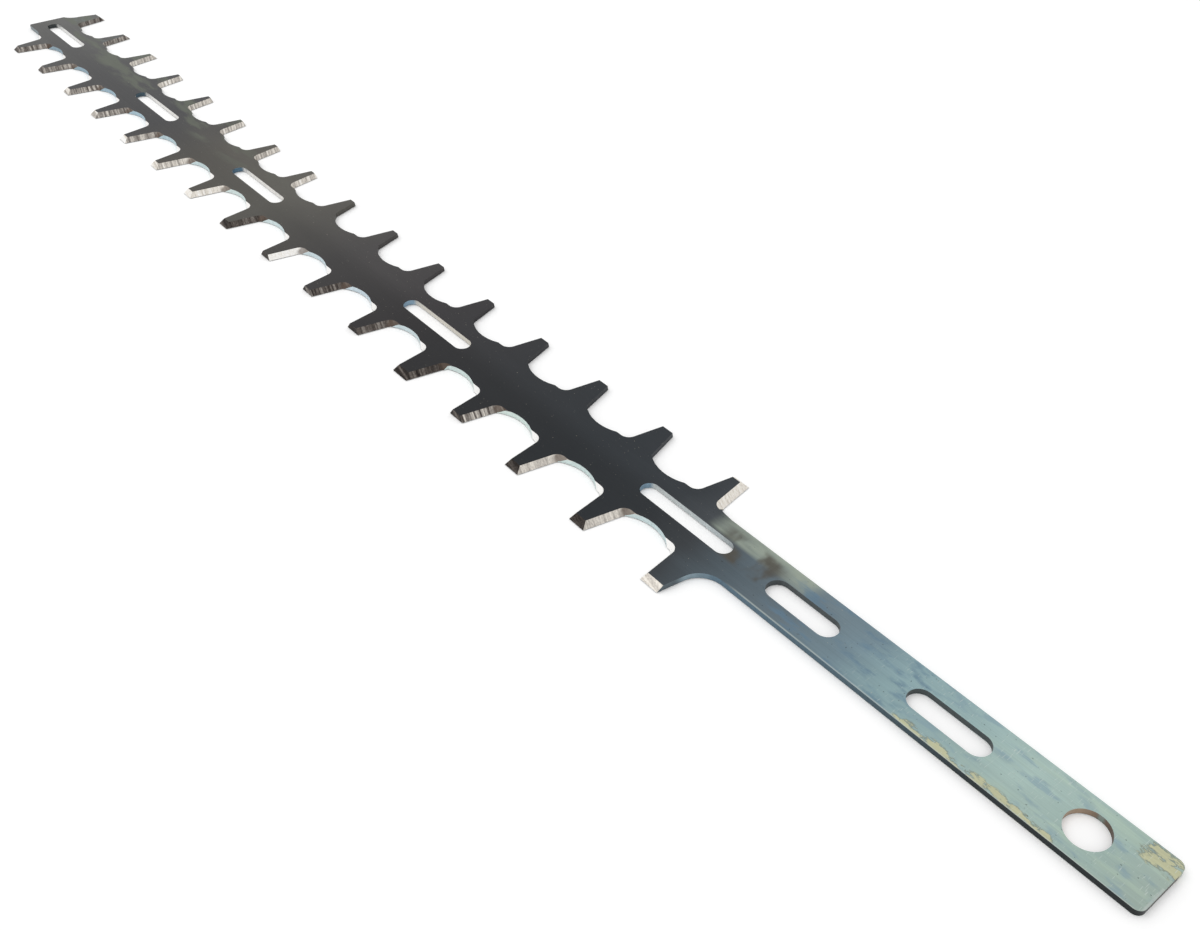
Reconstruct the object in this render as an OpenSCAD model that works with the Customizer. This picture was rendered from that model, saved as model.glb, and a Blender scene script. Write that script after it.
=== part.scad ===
// Reciprocating cutting blade of a hedge trimmer, one flat piece of hardened spring steel.
// X runs along the blade from the tang to the nose, Y across it, Z up. The origin is the
// axis of the round drive hole, on the flat underside, where the ground edges cut.

/* [Sheet] */
// thickness of the steel sheet
sheet = 2.0; // [1.6:0.1:2.6]
// distance from one tooth to the next in a row
pitch = 35; // [32:0.5:42]
// teeth in each row
tooth_count = 16; // [8:1:18]

/* [Tang] */
// drive hole axis to the rounded end of the tang
tang_reach = 21.8; // [16:0.1:30]
// half width of the tang at its rounded end
tang_half_end = 10.5; // [9.4:0.1:11]
// half width of the tang where the teeth begin
tang_half_root = 10.8; // [10:0.1:11]
// radius of the two corners at the end of the tang
tang_corner = 2.4; // [1:0.1:5]
// diameter of the round drive hole
drive_hole = 12.8; // [8:0.1:14]

/* [Teeth] */
// drive hole axis to the first tooth of the left row, along the middle line
tooth_start = 142.6; // [138:0.2:160]
// how far the right row stands nearer the nose than the left row
row_shift = 16.8; // [14:0.2:20]
// middle line to the end of a tooth, on the upper face
tooth_reach = 26.2; // [22:0.1:30]
// lean of the flank that faces the nose, in degrees
far_lean = 9.05; // [4:0.05:14]
// lean of the ground flank that faces the tang, in degrees
near_lean = 10.2; // [4:0.05:14]
// lean of a flank that was left as stamped, in degrees
stamped_lean = 18.2; // [12:0.1:20]
// width of a tooth of the left row, taken down to the middle line
base_left = 13.8; // [12:0.1:15]
// width of a tooth of the right row, taken down to the middle line
base_right = 12.5; // [11:0.1:14]
// width of a tooth with a stamped flank, taken down to the middle line
base_stamped = 18.1; // [17:0.1:18.5]
// how much narrower each ground tooth is than its neighbour nearer the tang
hone_drift = 0.09; // [0:0.01:0.12]
// how much narrower each stamped tooth is than its neighbour nearer the tang
stamp_drift = 0.3; // [0:0.05:0.35]
// tooth of the left row that was ground less than the rest, counted from the tang
proud_tooth = 4; // [2:1:6]
// how much wider that tooth stayed
proud_extra = 1.8; // [0:0.1:2]
// first tooth of the right row whose flank was left as stamped, counted from the tang
stamped_first = 1; // [1:1:4]
// last tooth of the right row whose flank was left as stamped
stamped_last = 7; // [4:1:7]

/* [Gullets] */
// radius of the arc that forms a gullet
gullet_radius = 17.2; // [16:0.1:20]
// flank of a tooth to the middle of the gullet beside it, along the blade
gullet_offset = 23.6; // [22:0.1:25]
// middle line to the floor of a gullet of the left row
floor_left = 9.9; // [8:0.1:10.5]
// middle line to the floor of a gullet of the right row
floor_right = 9.4; // [8:0.1:10.5]
// middle line to the ledge that the grinding wheel left at the root of a tooth
ledge_half = 11.4; // [11.2:0.1:12]

/* [Ground edges] */
// width of the bevel on the flank that faces the nose
bevel_far = 1.25; // [0.6:0.05:1.6]
// width of the bevel on the flank that faces the tang, left row
bevel_left = 1.8; // [0.8:0.05:2.2]
// width of the bevel on the flank that faces the tang, right row
bevel_right = 1.25; // [0.8:0.05:2.2]
// width of that bevel on the tooth of the right row next to the tang
bevel_last = 2.5; // [0.8:0.05:2.6]
// width of the bevel on the end of a tooth
bevel_end = 2.2; // [1:0.1:3]
// width of the bevel on a tooth end that was only touched by the wheel
bevel_end_light = 0.5; // [0.2:0.1:1]
// radius of the ground root of the flank that faces the nose, on the upper face
root_far = 3.6; // [3:0.1:5]
// radius of the ground root of the flank that faces the tang, on the upper face
root_near = 3.4; // [3.2:0.1:5]
// left teeth whose ends were only touched by the wheel, counted from the tang
light_ends_left = [3, 5, 6, 7];
// right teeth whose ends were only touched by the wheel, counted from the tang
light_ends_right = [1, 2, 3, 4, 5, 6, 7, 8, 9, 10, 11, 12];

/* [Nose] */
// last tooth of the right row to the end of the blade, along the middle line
nose_reach = 5.6; // [5:0.1:8]
// radius of the hollow between the nose and the last tooth of the right row
nose_hollow = 8.2; // [7:0.1:9]
// lean of the stamped flank above that hollow, in degrees
nose_lean = 13.3; // [9:0.1:16]
// radius of the corner of the nose on the left
nose_corner = 1.4; // [0.5:0.1:3]

/* [Guide slots] */
// width of the two slots in the tang
tang_slot_w = 8.4; // [6:0.1:10]
// length of the two slots in the tang, over their round ends
tang_slot_l = 27.6; // [20:0.1:32]
// width of the slots between the teeth
guide_slot_w = 6.8; // [5:0.1:8]
// length of the slots between the teeth, over their round ends
guide_slot_l = 41.3; // [30:0.1:44]
// middle of each slot of the tang, from the drive hole
tang_slots = [43.9, 98.6];
// middle of each slot between the teeth, from the drive hole
guide_slots = [150.0, 292.7, 437.9, 544.1, 662.2];

/* [Hidden] */
$fn = 72;
over = 0.5;
clear_of_edge = 0.3;
wheel_w = 8;
pass_run = 7;
shoulder_drop = 4.9;
shoulder_reach = 14.7;
fillet_radius = 8.8;
stamped_end_base = 14.6;
stamped_end_lean = 7.4;
first_right = tooth_start + row_shift;
last_left = tooth_start + pitch * (tooth_count - 1);
last_right = last_left + row_shift;
blade_end = last_right + nose_reach;
blank_half = tooth_reach + 4;
past = blank_half + 6;
slope = 1 / sheet;

// flank of tooth i of a row, along the middle line
function flank_x(row, i) = pitch * i + (row == "left" ? tooth_start : first_right);

// width of tooth i of a row, taken down to the middle line
function base_w(row, i) = row == "right" ? base_right - hone_drift * i
    : base_left - hone_drift * i + (i == proud_tooth ? proud_extra : 0);

// bevel on the flank of tooth i that faces the tang
function near_bevel(row, i) = row == "left" ? bevel_left : (i == 0 ? bevel_last : bevel_right);

// true where tooth i keeps its stamped flank
function stamped(row, i) = row == "left" ? i == 0 : i >= stamped_first && i <= stamped_last;

// bevel on the end of tooth i
function end_bevel(row, i) = len(search(i, row == "left" ? light_ends_left : light_ends_right)) > 0
    ? bevel_end_light : bevel_end;

// place along the blade, at height w from the middle line, of a line that leans towards the nose
function lean_x(x0, lean, w) = x0 + tan(lean) * w;

// straight bar whose side slopes back by b from the underside to the upper face
module bevel_bar(r, b, y0, y1)
{
    low = r - b * slope * over;
    high = r + b * slope * (sheet + over);
    side = [[-wheel_w, -over], [low, -over], [high, sheet + over], [-wheel_w, sheet + over]];
    translate([0, y1, 0])
        rotate([90, 0, 0])
            linear_extrude(height = y1 - y0)
                polygon(side);
}

// path of the grinding wheel down one flank of a tooth, round its root and out along the
// ledge; r is the radius of the root on the upper face, side is 1 for the flank that faces
// the tang and -1 for the one that faces the nose
module wheel_pass(x0, lean, b, r, side)
{
    foot = r - b;
    w = ledge_half + r;
    x = lean_x(x0, side * lean, w) - side * r / cos(lean);
    near = side > 0;
    translate([x, w, 0])
    {
        rotate([0, 0, near ? -lean : 180 + lean])
            bevel_bar(foot, b, near ? 0 : w - past, near ? past - w : 0);
        rotate([0, 0, 45])
            translate([0, 0, -over])
                cylinder(h = sheet + 2 * over, r1 = foot - b * slope * over, r2 = r + b * slope * over);
        rotate([0, 0, -90])
            bevel_bar(foot, b, near ? -pass_run : 0, near ? 0 : pass_run);
    }
}

// ground flank of tooth i that faces the tang
module near_pass(row, i)
{
    wheel_pass(flank_x(row, i) - base_w(row, i), near_lean, near_bevel(row, i), root_near, 1);
}

// ground flank of tooth i that faces the nose
module far_pass(row, i)
{
    wheel_pass(flank_x(row, i), far_lean, bevel_far, root_far, -1);
}

// line that bounds the stamped opening of the gullet next to tooth i, on that tooth's side
function mouth_near(row, i, w) = stamped(row, i)
    ? lean_x(flank_x(row, i) - base_stamped + stamp_drift * i, stamped_lean, w)
    : lean_x(flank_x(row, i) - base_w(row, i) - near_bevel(row, i) - clear_of_edge, near_lean, w);

// same line on the side of the next tooth nearer the tang
function mouth_far(row, i, w) = lean_x(flank_x(row, i) + bevel_far + clear_of_edge, -far_lean, w);

// gullet on the tang side of tooth i, as stamped through the sheet
module gullet(row, i)
{
    floor_w = row == "left" ? floor_left : floor_right;
    x = flank_x(row, i) - gullet_offset;
    mid_w = floor_w + gullet_radius;
    mouth = [
        [mouth_far(row, i - 1, 0), 0],
        [mouth_near(row, i, 0), 0],
        [mouth_near(row, i, past), past],
        [mouth_far(row, i - 1, past), past]
    ];
    translate([0, 0, -over])
        linear_extrude(height = sheet + 2 * over)
            intersection()
            {
                polygon(mouth);
                union()
                {
                    translate([x, mid_w])
                        circle(r = gullet_radius);
                    translate([x - gullet_radius, mid_w])
                        square([2 * gullet_radius, past - mid_w]);
                }
            }
}

// sloping end of tooth i
module end_pass(row, i)
{
    b = end_bevel(row, i);
    translate([flank_x(row, i), tooth_reach + b, 0])
        rotate([0, 0, -90])
            bevel_bar(0, b, -pitch / 2, pitch / 4);
}

// one half of the blank of a row, from the middle line out, before its gullets are cut
module half_blank(row)
{
    x0 = row == "left" ? tooth_start : first_right;
    if (row == "left")
    {
        base_x = x0 - stamped_end_base;
        mid_w = tang_half_root + fillet_radius;
        mid_x = lean_x(base_x, stamped_end_lean, mid_w) - fillet_radius / cos(stamped_end_lean);
        touch_x = mid_x + fillet_radius * cos(stamped_end_lean);
        touch_w = mid_w - fillet_radius * sin(stamped_end_lean);
        polygon([
            [-tang_reach, 0],
            [-tang_reach, tang_half_end],
            [mid_x, tang_half_root],
            [lean_x(base_x, stamped_end_lean, tang_half_root), tang_half_root],
            [lean_x(base_x, stamped_end_lean, blank_half), blank_half],
            [blade_end, blank_half],
            [blade_end, 0]
        ]);
        difference()
        {
            polygon([
                [mid_x, tang_half_root - 1],
                [touch_x + 2, tang_half_root - 1],
                [touch_x + 2, touch_w],
                [touch_x, touch_w],
                [mid_x, mid_w]
            ]);
            translate([mid_x, mid_w])
                circle(r = fillet_radius);
        }
    }
    else
    {
        polygon([
            [-tang_reach, 0],
            [-tang_reach, tang_half_end],
            [x0 - shoulder_reach - shoulder_drop, tang_half_root],
            [x0 - shoulder_reach, ledge_half],
            [mouth_near(row, 0, ledge_half), ledge_half],
            [mouth_near(row, 0, blank_half), blank_half],
            [blade_end, blank_half],
            [blade_end, 0]
        ]);
    }
}

// what is cut away in front of the last tooth of a row
module nose_cut(row)
{
    if (row == "left")
    {
        gullet(row, tooth_count);
        x = last_left + pitch - gullet_offset;
        translate([x, floor_left, -over])
            cube([blade_end + over - x, past, sheet + 2 * over]);
    }
    else
    {
        mid_w = ledge_half + 6;
        mid_x = last_right + 1 + nose_hollow;
        translate([0, 0, -over])
            linear_extrude(height = sheet + 2 * over)
            {
                translate([mid_x, mid_w])
                    circle(r = nose_hollow);
                polygon([
                    [mid_x - nose_hollow, mid_w],
                    [mid_x - nose_hollow - tan(nose_lean) * (past - mid_w), past],
                    [blade_end + pitch, past],
                    [blade_end + pitch, mid_w]
                ]);
            }
    }
}

// one row of teeth on its half of the sheet
module half_blade(row)
{
    difference()
    {
        linear_extrude(height = sheet)
            half_blank(row);
        for (i = [1 : tooth_count - 1])
            gullet(row, i);
        for (i = [0 : tooth_count - 1])
        {
            end_pass(row, i);
            if (!stamped(row, i))
                near_pass(row, i);
        }
        for (i = [0 : tooth_count - (row == "left" ? 1 : 2)])
            far_pass(row, i);
        nose_cut(row);
    }
}

// slot with round ends along the blade
module slot(x, l, w)
{
    translate([x, 0, -over])
        linear_extrude(height = sheet + 2 * over)
        {
            square([l - w, w], center = true);
            for (s = [-1, 1])
                translate([s * (l - w) / 2, 0])
                    circle(d = w);
        }
}

// what rounding a square corner with radius r takes away, corner at the origin
module corner_off(r)
{
    translate([0, 0, -over])
        linear_extrude(height = sheet + 2 * over)
            difference()
            {
                translate([-r, -r])
                    square([r + 1, r + 1]);
                translate([-r, -r])
                    circle(r = r);
            }
}

module blade()
{
    color([0.32, 0.34, 0.35])
        difference()
        {
            union()
            {
                half_blade("left");
                mirror([0, 1, 0])
                    half_blade("right");
            }
            translate([0, 0, -over])
                cylinder(h = sheet + 2 * over, d = drive_hole);
            for (x = tang_slots)
                slot(x, tang_slot_l, tang_slot_w);
            for (x = guide_slots)
                slot(x, guide_slot_l, guide_slot_w);
            translate([-tang_reach, tang_half_end, 0])
                rotate([0, 0, 90])
                    corner_off(tang_corner);
            translate([-tang_reach, -tang_half_end, 0])
                rotate([0, 0, 180])
                    corner_off(tang_corner);
            translate([blade_end, floor_left, 0])
                corner_off(nose_corner);
        }
}

blade();
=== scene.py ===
"""Looks of the cutting blade: its heat-blued sheet, its ground edges and the studio round it."""
import math

import bpy
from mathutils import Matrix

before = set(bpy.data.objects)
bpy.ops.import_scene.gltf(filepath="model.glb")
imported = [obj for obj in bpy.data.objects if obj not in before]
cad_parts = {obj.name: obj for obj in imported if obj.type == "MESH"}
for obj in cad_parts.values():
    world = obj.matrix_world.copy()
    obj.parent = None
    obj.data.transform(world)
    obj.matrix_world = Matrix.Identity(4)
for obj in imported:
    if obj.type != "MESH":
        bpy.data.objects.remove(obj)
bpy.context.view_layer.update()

# The blade is one flat piece of hardened spring steel. It is stamped from brushed sheet,
# tempered until it turns dark, and then its teeth are ground along the flanks and ends,
# so the colour follows the heat along the sheet and the bevels are bare metal.
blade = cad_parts["blade"]

blued = bpy.data.materials.new("blued_steel")
blued.use_nodes = True
blued_tree = blued.node_tree
blued_shader = next(n for n in blued_tree.nodes if n.type == "BSDF_PRINCIPLED")


def paint(red, green, blue):
    """Colour written as it shows on a screen, 0 to 255 a channel, as a linear colour."""
    return tuple(((c / 255 + 0.055) / 1.055) ** 2.4 if c > 10 else c / 255 / 12.92
                 for c in (red, green, blue)) + (1.0,)


class Heat:
    """One value or colour on the steel; sums, differences and products of it add their nodes."""

    def __init__(self, tree, socket):
        self.tree, self.socket = tree, socket

    def node(self, kind, settings=None, **inputs):
        """Adds one node: settings first, then the value or link of each named socket."""
        new = self.tree.nodes.new(kind)
        for key, value in (settings or {}).items():
            if key == "stops":
                ramp = new.color_ramp
                while len(ramp.elements) > 1:
                    ramp.elements.remove(ramp.elements[-1])
                ramp.elements[0].position = value[0][0]
                ramp.elements[0].color = value[0][1]
                for place, colour in value[1:]:
                    ramp.elements.new(place).color = colour
            elif key == "blend":
                new.color_ramp.interpolation = value
            else:
                setattr(new, key, value)
        for name, value in inputs.items():
            name = name.replace("_", " ")
            at = int(name[1:]) if name[0] == "i" and name[1:].isdigit() else name
            self.wire(new, at, value)
        return new

    def wire(self, node, at, value):
        """Feeds a socket of a node with a link, or sets it to a plain value."""
        if isinstance(value, Heat):
            self.tree.links.new(value.socket, node.inputs[at])
        else:
            node.inputs[at].default_value = value

    def out(self, kind, settings=None, port=0, **inputs):
        """Adds one node and returns one of its outputs."""
        return Heat(self.tree, self.node(kind, settings, **inputs).outputs[port])

    def sum(self, operation, *terms):
        return self.out("ShaderNodeMath", {"operation": operation},
                        **{f"i{k}": term for k, term in enumerate(terms)})

    def __add__(self, other):
        return self.sum("ADD", self, other)

    def __radd__(self, other):
        return self.sum("ADD", other, self)

    def __sub__(self, other):
        return self.sum("SUBTRACT", self, other)

    def __rsub__(self, other):
        return self.sum("SUBTRACT", other, self)

    def __mul__(self, other):
        return self.sum("MULTIPLY", self, other)

    def __rmul__(self, other):
        return self.sum("MULTIPLY", other, self)

    def __abs__(self):
        return self.sum("ABSOLUTE", self)

    def rise(self, low, high):
        """0 below low, 1 above high, and a smooth step between; it falls if low > high."""
        start = float(low > high)
        return self.out("ShaderNodeMapRange", {"interpolation_type": "SMOOTHSTEP"},
                        Value=self, From_Min=min(low, high), From_Max=max(low, high),
                        To_Min=start, To_Max=1.0 - start)

    def band(self, a, b, soft):
        """1 between a and b, falling to 0 over the width soft outside them."""
        return self.rise(a - soft, a) * self.rise(b + soft, b)

    def whole(self):
        return self.sum("FLOOR", self)

    def ramp(self, low, high, stops, blend="LINEAR"):
        """Colour that follows the value from low to high through the stops."""
        place = self.out("ShaderNodeMapRange", {}, Value=self, From_Min=low, From_Max=high)
        scaled = [((p - low) / (high - low), c) for p, c in stops]
        return place.out("ShaderNodeValToRGB", {"stops": scaled, "blend": blend}, Fac=place)

    def mixed(self, low, high, amount):
        """Colour that goes from low to high as the amount goes from 0 to 1."""
        mix = self.node("ShaderNodeMix", {"data_type": "RGBA", "clamp_factor": True})
        for at, value in ((0, amount), (6, low), (7, high)):
            self.wire(mix, at, value)
        return Heat(self.tree, mix.outputs[2])

    def over(self, below, amount):
        """This colour laid over another by an amount from 0 to 1."""
        return self.mixed(below, self, amount)

    def tinted(self, colour, amount):
        """This colour with another laid over it by an amount from 0 to 1."""
        return self.mixed(self, colour, amount)

    def shaded(self, factor):
        """This colour made lighter or darker by a factor."""
        return self.out("ShaderNodeVectorMath", {"operation": "SCALE"}, i0=self, Scale=factor)


steel = Heat(blued_tree, None)
place = steel.out("ShaderNodeTexCoord", port=3)
millimetres = steel.out("ShaderNodeVectorMath", {"operation": "SCALE"}, i0=place, Scale=1000.0)
x = millimetres.out("ShaderNodeSeparateXYZ", port=0, Vector=millimetres)
y = millimetres.out("ShaderNodeSeparateXYZ", port=1, Vector=millimetres)
z = millimetres.out("ShaderNodeSeparateXYZ", port=2, Vector=millimetres)
facing = steel.out("ShaderNodeNewGeometry", port=3)
facing_x = facing.out("ShaderNodeSeparateXYZ", port=0, Vector=facing)
facing_y = facing.out("ShaderNodeSeparateXYZ", port=1, Vector=facing)
facing_z = facing.out("ShaderNodeSeparateXYZ", port=2, Vector=facing)


def grain(along, across, up, detail=3.0, rough=0.5, seed=0.0):
    """Noise whose cells measure along x across x up millimetres, 0 to 1."""
    spread = steel.out("ShaderNodeCombineXYZ", X=x * (1 / along) + seed, Y=y * (1 / across), Z=z
        * (1 / up))
    return steel.out("ShaderNodeTexNoise", {"noise_dimensions": "3D"}, Vector=spread,
                     Scale=1.0, Detail=detail, Roughness=rough)


# The upper face: heat colours along the sheet, lighter towards the tang, where the tempering
# ran out into green, straw and blue, and towards the nose, where the oxide is thin.
drift = (grain(60.0, 25.0, 50.0) - 0.5) * 26.0
face = (x + drift).ramp(-25.0, 700.0, [
    (-25.0, paint(166, 182, 172)), (-8.0, paint(162, 184, 177)), (20.0, paint(170, 193, 187)),
    (45.0, paint(152, 178, 179)), (62.0, paint(145, 172, 176)), (80.0, paint(120, 142, 152)),
    (104.0, paint(104, 118, 126)), (120.0, paint(88, 101, 109)), (138.0, paint(60, 64, 68)),
    (160.0, paint(42, 46, 50)), (200.0, paint(35, 39, 43)), (250.0, paint(36, 38, 41)),
    (300.0, paint(41, 39, 41)), (360.0, paint(58, 56, 56)), (420.0, paint(83, 81, 75)),
    (480.0, paint(76, 73, 67)), (530.0, paint(58, 58, 60)), (600.0, paint(66, 66, 67)),
    (690.0, paint(88, 88, 86))])
# Painted reflection: the right side of the sheet (negative y) is made lighter, most between x 150 and
# 320 mm, for the room light it reflects.
right_side_painted_sheen = x.band(150.0, 320.0, 80.0) * 0.36 + x.rise(120.0, 200.0) * 0.18 + 0.06
face = face.shaded(1.0 + right_side_painted_sheen * y.rise(6.0, -7.0))

top = facing_z.rise(0.93, 0.97)
under = facing_z.rise(-0.93, -0.97)
ground = facing_z.band(0.18, 0.9, 0.03)
left = y.rise(-0.1, 0.1)
out_w = abs(y)

olive = grain(22.0, 7.0, 30.0, seed=7.0).rise(0.42, 0.62)
face = face.tinted(paint(162, 172, 158), x.band(104.0, 138.0, 7.0) * y.rise(-3.0, -5.5)
    * (olive * 0.4 + 0.6) * 0.9)
smear = grain(9.0, 14.0, 30.0, seed=3.0).rise(0.4, 0.6)
face = face.tinted(paint(84, 80, 72), x.band(116.0, 132.0, 8.0) * y.band(-7.5, 2.0, 2.5) * smear * 0.9)
blue = grain(13.0, 4.5, 30.0, detail=5.0, rough=0.6, seed=1.0).rise(0.48, 0.66)
face = face.tinted(paint(98, 128, 150), x.band(56.0, 100.0, 12.0) * blue * 0.7)
face = face.tinted(paint(138, 164, 176), x.rise(62.0, 44.0)
    * grain(10.0, 3.6, 30.0, detail=5.0, seed=19.0).rise(0.52, 0.66) * 0.6)
green = grain(24.0, 5.0, 30.0, seed=29.0).rise(0.5, 0.66)
face = face.tinted(paint(186, 206, 186), x.rise(40.0, 24.0) * green * 0.4)
ragged = grain(6.0, 2.2, 9.0, detail=6.0, rough=0.65, seed=5.0)
spill = y.rise(6.8, 9.6) * x.band(6.0, 52.0, 5.0) + x.rise(-8.0, -15.0) * y.rise(-1.5, -6.0)
rim = (ragged + spill * 0.22).rise(0.62, 0.66) * spill.rise(0.05, 0.5)
heart = (ragged + spill * 0.22).rise(0.66, 0.71) * spill.rise(0.05, 0.5)
face = face.tinted(paint(122, 126, 112), rim * 0.65)
face = face.tinted(paint(206, 206, 168), heart * 0.85)
lichen = grain(30.0, 9.0, 30.0, detail=4.0, rough=0.6, seed=11.0).rise(0.46, 0.6)
face = face.tinted(paint(98, 104, 90), x.rise(400.0, 540.0) * y.rise(3.0, -3.0) * lichen * 0.8)
hazy = grain(6.0, 4.0, 30.0, detail=4.0, seed=37.0).rise(0.5, 0.64)
face = face.tinted(paint(112, 122, 124), x.rise(600.0, 640.0) * y.rise(-11.0, -15.0) * hazy * 0.6)
brushed = grain(90.0, 0.55, 3.0, detail=4.0, rough=0.6, seed=2.0) - 0.5
face = face.shaded(1.0 + brushed * 0.3)
drawn = grain(34.0, 0.16, 3.0, detail=2.0, seed=43.0) - 0.5
face = face.shaded(1.0 + drawn * 0.2)
cloudy = grain(14.0, 5.0, 9.0, detail=4.0, seed=17.0) - 0.5
face = face.shaded(1.0 + cloudy * 0.16)
pit = grain(0.9, 0.9, 0.9, detail=1.0, seed=23.0).rise(0.73, 0.78)
face = face.tinted(paint(48, 52, 54), pit * 0.55)
tick = grain(0.22, 2.6, 3.0, detail=0.0, seed=53.0).rise(0.74, 0.77) * x.rise(90.0, 40.0)
face = face.tinted(paint(206, 216, 210), tick * 0.5)
fleck = grain(0.7, 0.7, 0.7, detail=1.0, seed=41.0).rise(0.755, 0.78)
face = face.tinted(paint(176, 170, 156), fleck * 0.5)
# Painted highlight: a thin pale line along the upper rim of the tang's long edge and its end, on the
# left side, where the edge catches the light.
long_edge_painted_highlight = out_w.rise(10.05, 10.45) * x.rise(122.0, 112.0)
tang_edge_painted_highlight = long_edge_painted_highlight.sum("MAXIMUM", long_edge_painted_highlight, x.rise(-20.9, -21.4))
face = face.tinted(paint(196, 205, 200), tang_edge_painted_highlight * left * 0.55)

# The stamped walls: dark slate round the tang, steel blue and grey-green in the gullets and
# slots, where they catch the light.
gullet_wall = x.ramp(-25.0, 700.0, [
    (-25.0, paint(42, 46, 47)), (30.0, paint(48, 56, 59)), (75.0, paint(86, 108, 120)), (124.0,
    paint(96, 120, 136)),
    (146.0, paint(206, 222, 224)), (240.0, paint(218, 232, 226)), (330.0, paint(208, 222, 230)), (440.0,
    paint(216, 230, 228)),
    (560.0, paint(170, 196, 210)), (650.0, paint(150, 172, 184)), (690.0, paint(126, 134, 136))])
slot_wall = x.ramp(-25.0, 700.0, [
    (-8.0, paint(70, 60, 53)), (0.0, paint(120, 104, 90)), (6.0, paint(176, 154, 132)), (14.0,
    paint(86, 80, 74)),
    (30.0, paint(78, 86, 87)), (118.0, paint(84, 90, 92)), (140.0, paint(196, 204, 206)),
    (262.0, paint(214, 210, 200)), (320.0, paint(222, 218, 210)), (430.0, paint(236, 234, 230)), (690.0,
    paint(240, 240, 238))])
in_slot = out_w.rise(6.6, 6.2)
walls = slot_wall.over(gullet_wall, in_slot)
slot_end = x.ramp(-25.0, 700.0, [
    (110.0, paint(74, 78, 78)), (140.0, paint(120, 146, 164)), (260.0, paint(150, 176, 194)), (320.0,
    paint(140, 168, 188)),
    (430.0, paint(92, 122, 144)), (540.0, paint(76, 98, 112)), (660.0, paint(60, 64, 66))])
walls = slot_end.over(walls, facing_x.rise(-0.35, -0.8) * in_slot * x.rise(60.0, 90.0))
walls = face.over(walls, (1.0 - in_slot) * y.rise(2.0, -2.0))
walls = face.over(walls, out_w.rise(18.0, 22.0) * facing_x.rise(0.2, -0.2) * 0.8)
walls = walls.shaded(1.0 + (grain(1.2, 1.2, 6.0, seed=13.0) - 0.5) * 0.35)

# The ground bevels: bare steel with the coarse marks of the wheel across each flank. Each tooth's level
# is partly its grind, dull, brown or streaked, and partly painted light: painted glare where a flank or
# tip is lit near white, and painted shade on the dark flanks of the right row's second to eighth teeth
# from the tang.
tooth_start = 142.6
row_shift = 16.8
pitch = 35.0
gullet_offset = 23.6
row_start = left * tooth_start + (1.0 - left) * (tooth_start + row_shift)
tooth = ((x - row_start + gullet_offset) * (1 / pitch)).whole()


def tone(level):
    return (level, level, level, 1.0)


left_flank_grind_and_light = (0.9, 0.8, 0.82, 0.55, 0.2, 0.32, 0.24, 1.1, 0.24, 0.94, 0.8, 0.68, 0.6, 0.55, 0.5, 0.46)
left_tip_grind_and_light = (0.88, 0.1, 0.1, 0.12, 0.1, 0.14, 0.1, 0.1, 0.1, 1.05, 0.95, 1.0, 0.95, 0.85, 0.34, 0.28)
left_marks = (0.7, 0.8, 0.7, 2.4, 1.2, 1.0, 2.2, 0.3, 1.2, 0.9, 1.6, 1.7, 1.8, 1.8, 1.7, 1.8)
right_flank_grind_and_light = (0.95, 0.3, 0.3, 0.3, 0.3, 0.3, 0.3, 0.3, 0.84, 0.76, 0.8, 0.78, 0.82, 0.76, 0.5, 0.36)
right_marks = (0.5, 0.5, 0.5, 0.5, 0.5, 0.5, 0.5, 0.5, 1.3, 1.5, 1.6, 1.6, 1.7, 1.4, 1.5, 1.2)


def by_tooth(values):
    """Value of a tooth, from its row's list, counted from the tang."""
    steps = [(float(i), tone(v / 3)) for i, v in enumerate(values)]
    return (tooth + 0.5).ramp(0.0, 16.0, steps, "CONSTANT")


along_tooth = x - row_start - tooth * pitch
tip_end = out_w.rise(22.5, 24.5) * abs(facing_y).rise(0.25, 0.55)
far_flank_painted_glare = along_tooth.rise(-5.0, -2.0)
tooth_grind_and_light = by_tooth(left_flank_grind_and_light).over(by_tooth(right_flank_grind_and_light), left)
tooth_grind_and_light = by_tooth(left_tip_grind_and_light).over(tooth_grind_and_light, tip_end * left)
level = tooth_grind_and_light.out("ShaderNodeRGBToBW", Color=tooth_grind_and_light) * 3.0
deep = by_tooth(left_marks).over(by_tooth(right_marks), left)
deep = deep.out("ShaderNodeRGBToBW", Color=deep) * 3.0
wheel = steel.out("ShaderNodeCombineXYZ", X=tooth * 7.3, Y=(y + x * 0.16) * 0.85, Z=left * 5.0 + z
    * 0.05)
marks = steel.out("ShaderNodeTexNoise", {"noise_dimensions": "3D"}, Vector=wheel, Scale=1.0, Detail=3.0,
    Roughness=0.55)
chatter = grain(0.8, 0.5, 0.8, detail=2.0, seed=61.0) - 0.5
streak = (marks - 0.5) * deep + chatter * 0.45
# The brightest levels of this scale are painted glare, lit near white; the darkest on the right row are
# painted shade.
bare = (level + streak).ramp(0.0, 1.15, [
    (0.0, paint(38, 33, 30)), (0.3, paint(92, 85, 80)), (0.5, paint(140, 134, 128)),
    (0.75, paint(196, 190, 182)), (0.95, paint(236, 230, 220)), (1.15, paint(255, 254, 252))])
# Painted highlight: the far flanks of the left row, inward of 15 mm from the middle line, are turned
# near white as if blown out by the light.
bare = bare.tinted(paint(255, 254, 252), far_flank_painted_glare * left * out_w.rise(17.0, 15.0))
scorch = out_w.rise(15.5, 13.2) * left
bare = bare.tinted(paint(92, 78, 68), scorch * along_tooth.band(-15.5, -12.0, 1.0) * 0.75)

skin = bare.over(walls, ground)
skin = face.over(skin, top.sum("MAXIMUM", top, under))

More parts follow.
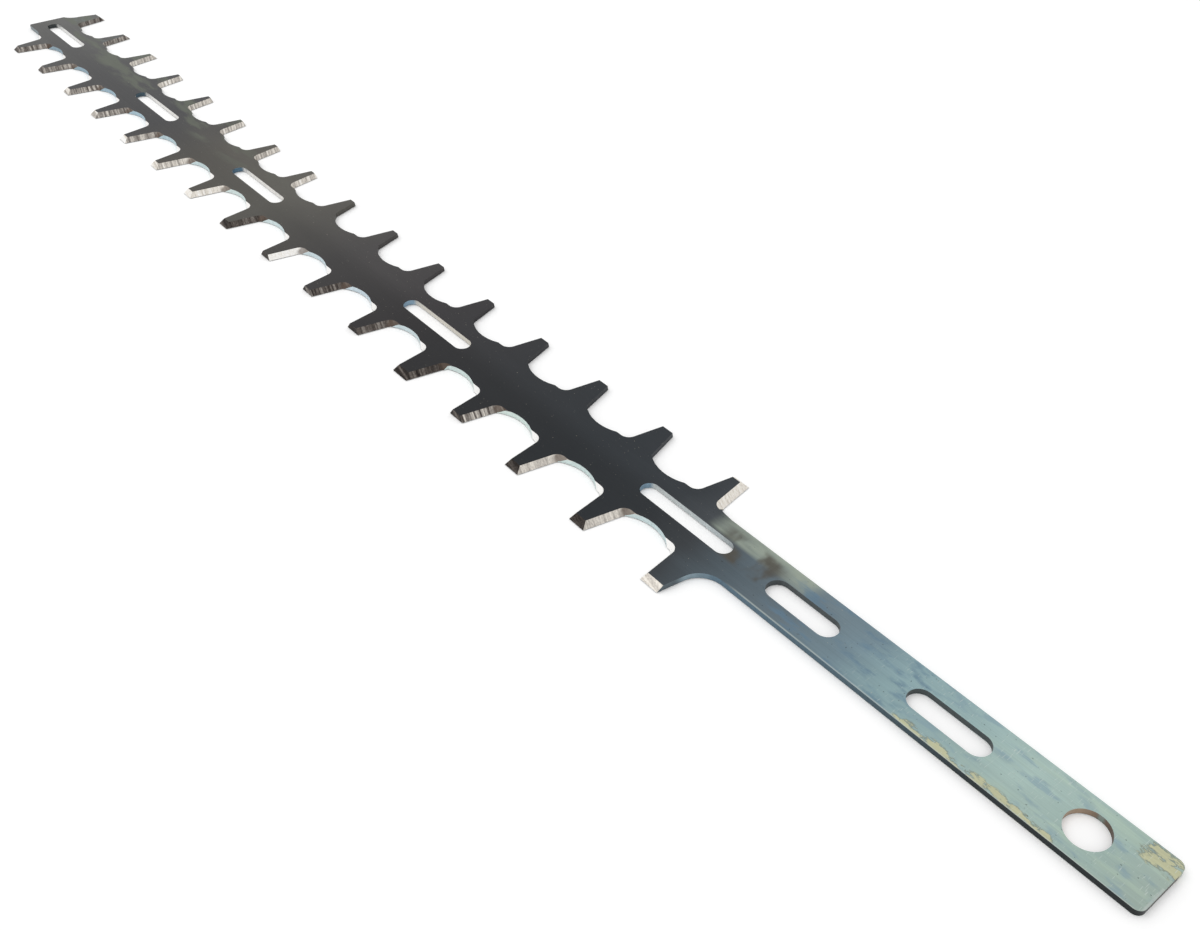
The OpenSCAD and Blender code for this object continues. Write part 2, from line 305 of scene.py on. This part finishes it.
finish_rough = 0.42 + (brushed * 0.2) + ground * 0.06
relief = (brushed * 0.35 + cloudy * 0.2) * top + ground * marks * 1.0
bump = steel.node("ShaderNodeBump", {}, Strength=0.35, Distance=0.00012, Height=relief)
blued_tree.links.new(skin.socket, blued_shader.inputs["Base Color"])
blued_tree.links.new(finish_rough.socket, blued_shader.inputs["Roughness"])
blued_tree.links.new(bump.outputs["Normal"], blued_shader.inputs["Normal"])
blued_shader.inputs["Metallic"].default_value = 0.75
for slot in blade.material_slots:
    slot.material = blued

# The table under the blade: a plain white surface, lit softly, that keeps its shadow.
table_half = 6.0
table_top = -0.0003
table_mesh = bpy.data.meshes.new("table")
table_corners = [(sx * table_half, sy * table_half, table_top) for sx,
    sy in ((-1, -1), (1, -1), (1, 1), (-1, 1))]
table_mesh.from_pydata(table_corners, [], [(0, 1, 2, 3)])
table = bpy.data.objects.new("table", table_mesh)
bpy.context.scene.collection.objects.link(table)
white = bpy.data.materials.new("white_table")
white.use_nodes = True
white_shader = next(n for n in white.node_tree.nodes if n.type == "BSDF_PRINCIPLED")
white_shader.inputs["Base Color"].default_value = (0.96, 0.96, 0.96, 1.0)
white_shader.inputs["Roughness"].default_value = 0.9
white_shader.inputs["Specular IOR Level"].default_value = 0.0
white_tree = Heat(white.node_tree, None)
seen = white_tree.out("ShaderNodeLightPath", port=0)
glow = white_tree.out("ShaderNodeCombineColor", Red=seen * 0.1, Green=seen * 0.1, Blue=seen * 0.1)
white.node_tree.links.new(glow.socket, white_shader.inputs["Emission Color"])
white_shader.inputs["Emission Strength"].default_value = 1.0
table_mesh.materials.append(white)

# Soft studio light: a pale room and one large softbox high on the left of the blade.
room = bpy.data.worlds.new("studio")
room.use_nodes = True
room.node_tree.nodes["Background"].inputs["Color"].default_value = (1.0, 1.0, 1.0, 1.0)
room.node_tree.nodes["Background"].inputs["Strength"].default_value = 0.85
bpy.context.scene.world = room
lamp = bpy.data.lights.new("softbox", "AREA")
lamp.shape = "RECTANGLE"
lamp.size = 1.6
lamp.size_y = 1.2
lamp.energy = 9.0
softbox = bpy.data.objects.new("softbox", lamp)
softbox.location = (0.9, 0.9, 1.9)
softbox.rotation_euler = (math.radians(-22), math.radians(16), 0.0)
bpy.context.scene.collection.objects.link(softbox)

# The camera stands above the tang, to its left, and looks along the blade to the nose.
eye = bpy.data.cameras.new("camera")
eye.sensor_width = 36.0
eye.lens = 38.014
eye.clip_start = 0.01
camera = bpy.data.objects.new("camera", eye)
camera.location = (-0.062963, 0.218787, 0.273529)
camera.rotation_euler = (math.radians(50.45866), math.radians(-1.19664), math.radians(-129.53815))
bpy.context.scene.collection.objects.link(camera)
bpy.context.scene.camera = camera
bpy.context.scene.view_settings.view_transform = "Standard"
